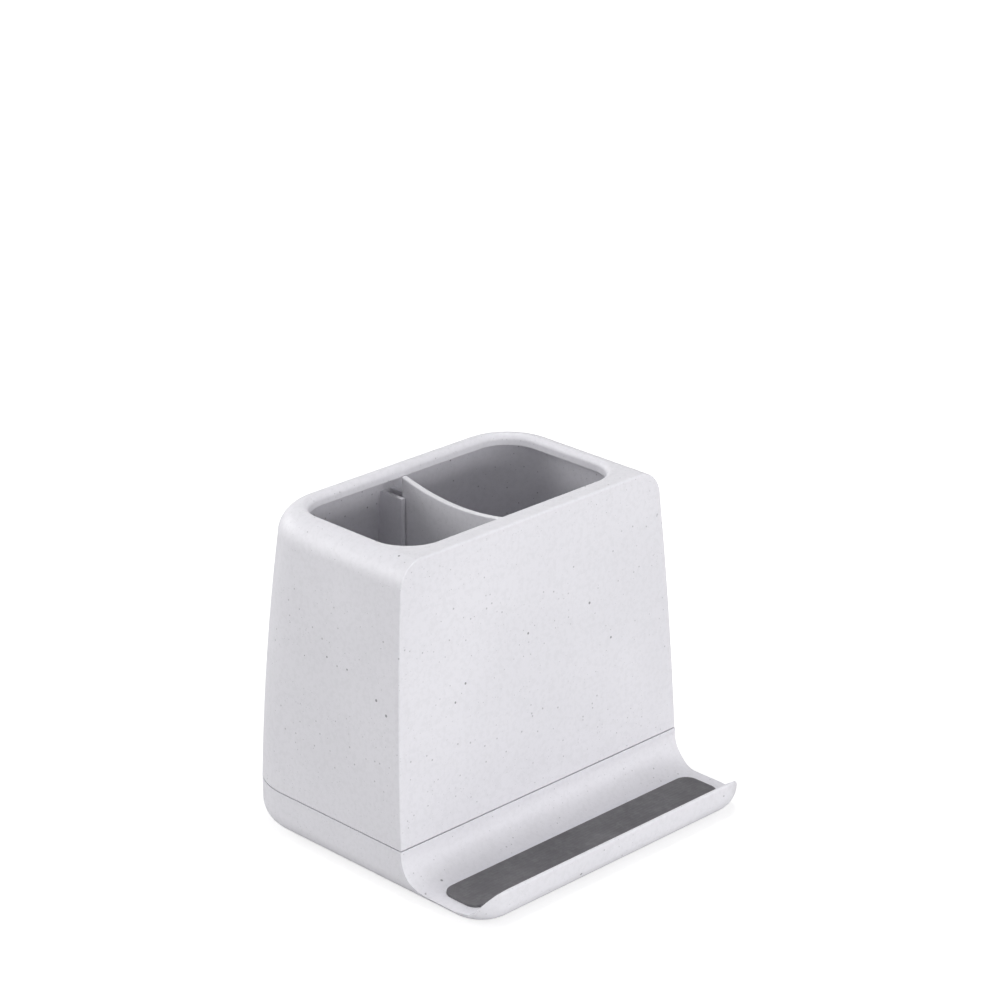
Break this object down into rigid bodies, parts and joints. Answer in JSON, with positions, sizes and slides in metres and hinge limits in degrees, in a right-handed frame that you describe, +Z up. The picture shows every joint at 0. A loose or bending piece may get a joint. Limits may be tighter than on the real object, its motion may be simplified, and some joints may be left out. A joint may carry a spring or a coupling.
{
  "type": "toothbrush holder",
  "caption": "Bathroom holder whose divided upright shell takes toothbrush handles and whose base tray runs forward as a padded ledge for a leaning phone.",
  "frame": {"origin": "on the ground plane that the feet stand on, under the middle of the holder's outline seen from above", "axes": "+X along the width, to the right of someone facing the flat front; +Y from the phone ledge towards the back; +Z up"},
  "size_m": [0.12, 0.1098, 0.1053],
  "materials": {
    "speckled_shell": "satin pale grey with sparse fine grey specks",
    "divider_plastic": "smooth white",
    "pad_rubber": "matt dark grey with fine lines",
    "foot_rubber": "matt"
  },
  "bodies": {
    "base": {"base_tray": "speckled_shell", "phone_pad": "pad_rubber", "foot_front_left": "foot_rubber", "foot_front_right": "foot_rubber", "foot_back_left": "foot_rubber", "foot_back_right": "foot_rubber"},
    "shell": {"upper_shell": "speckled_shell"},
    "divider": {"divider": "divider_plastic"}
  },
  "joints": [
    {"name": "shell_lift", "type": "slide", "parent": "base", "child": "shell", "axis": [0, 0, 1], "range_m": [0, 0.03]},
    {"name": "divider_lift", "type": "slide", "parent": "shell", "child": "divider", "axis": [0, 0, 1], "range_m": [0, 0.095]}
  ]
}
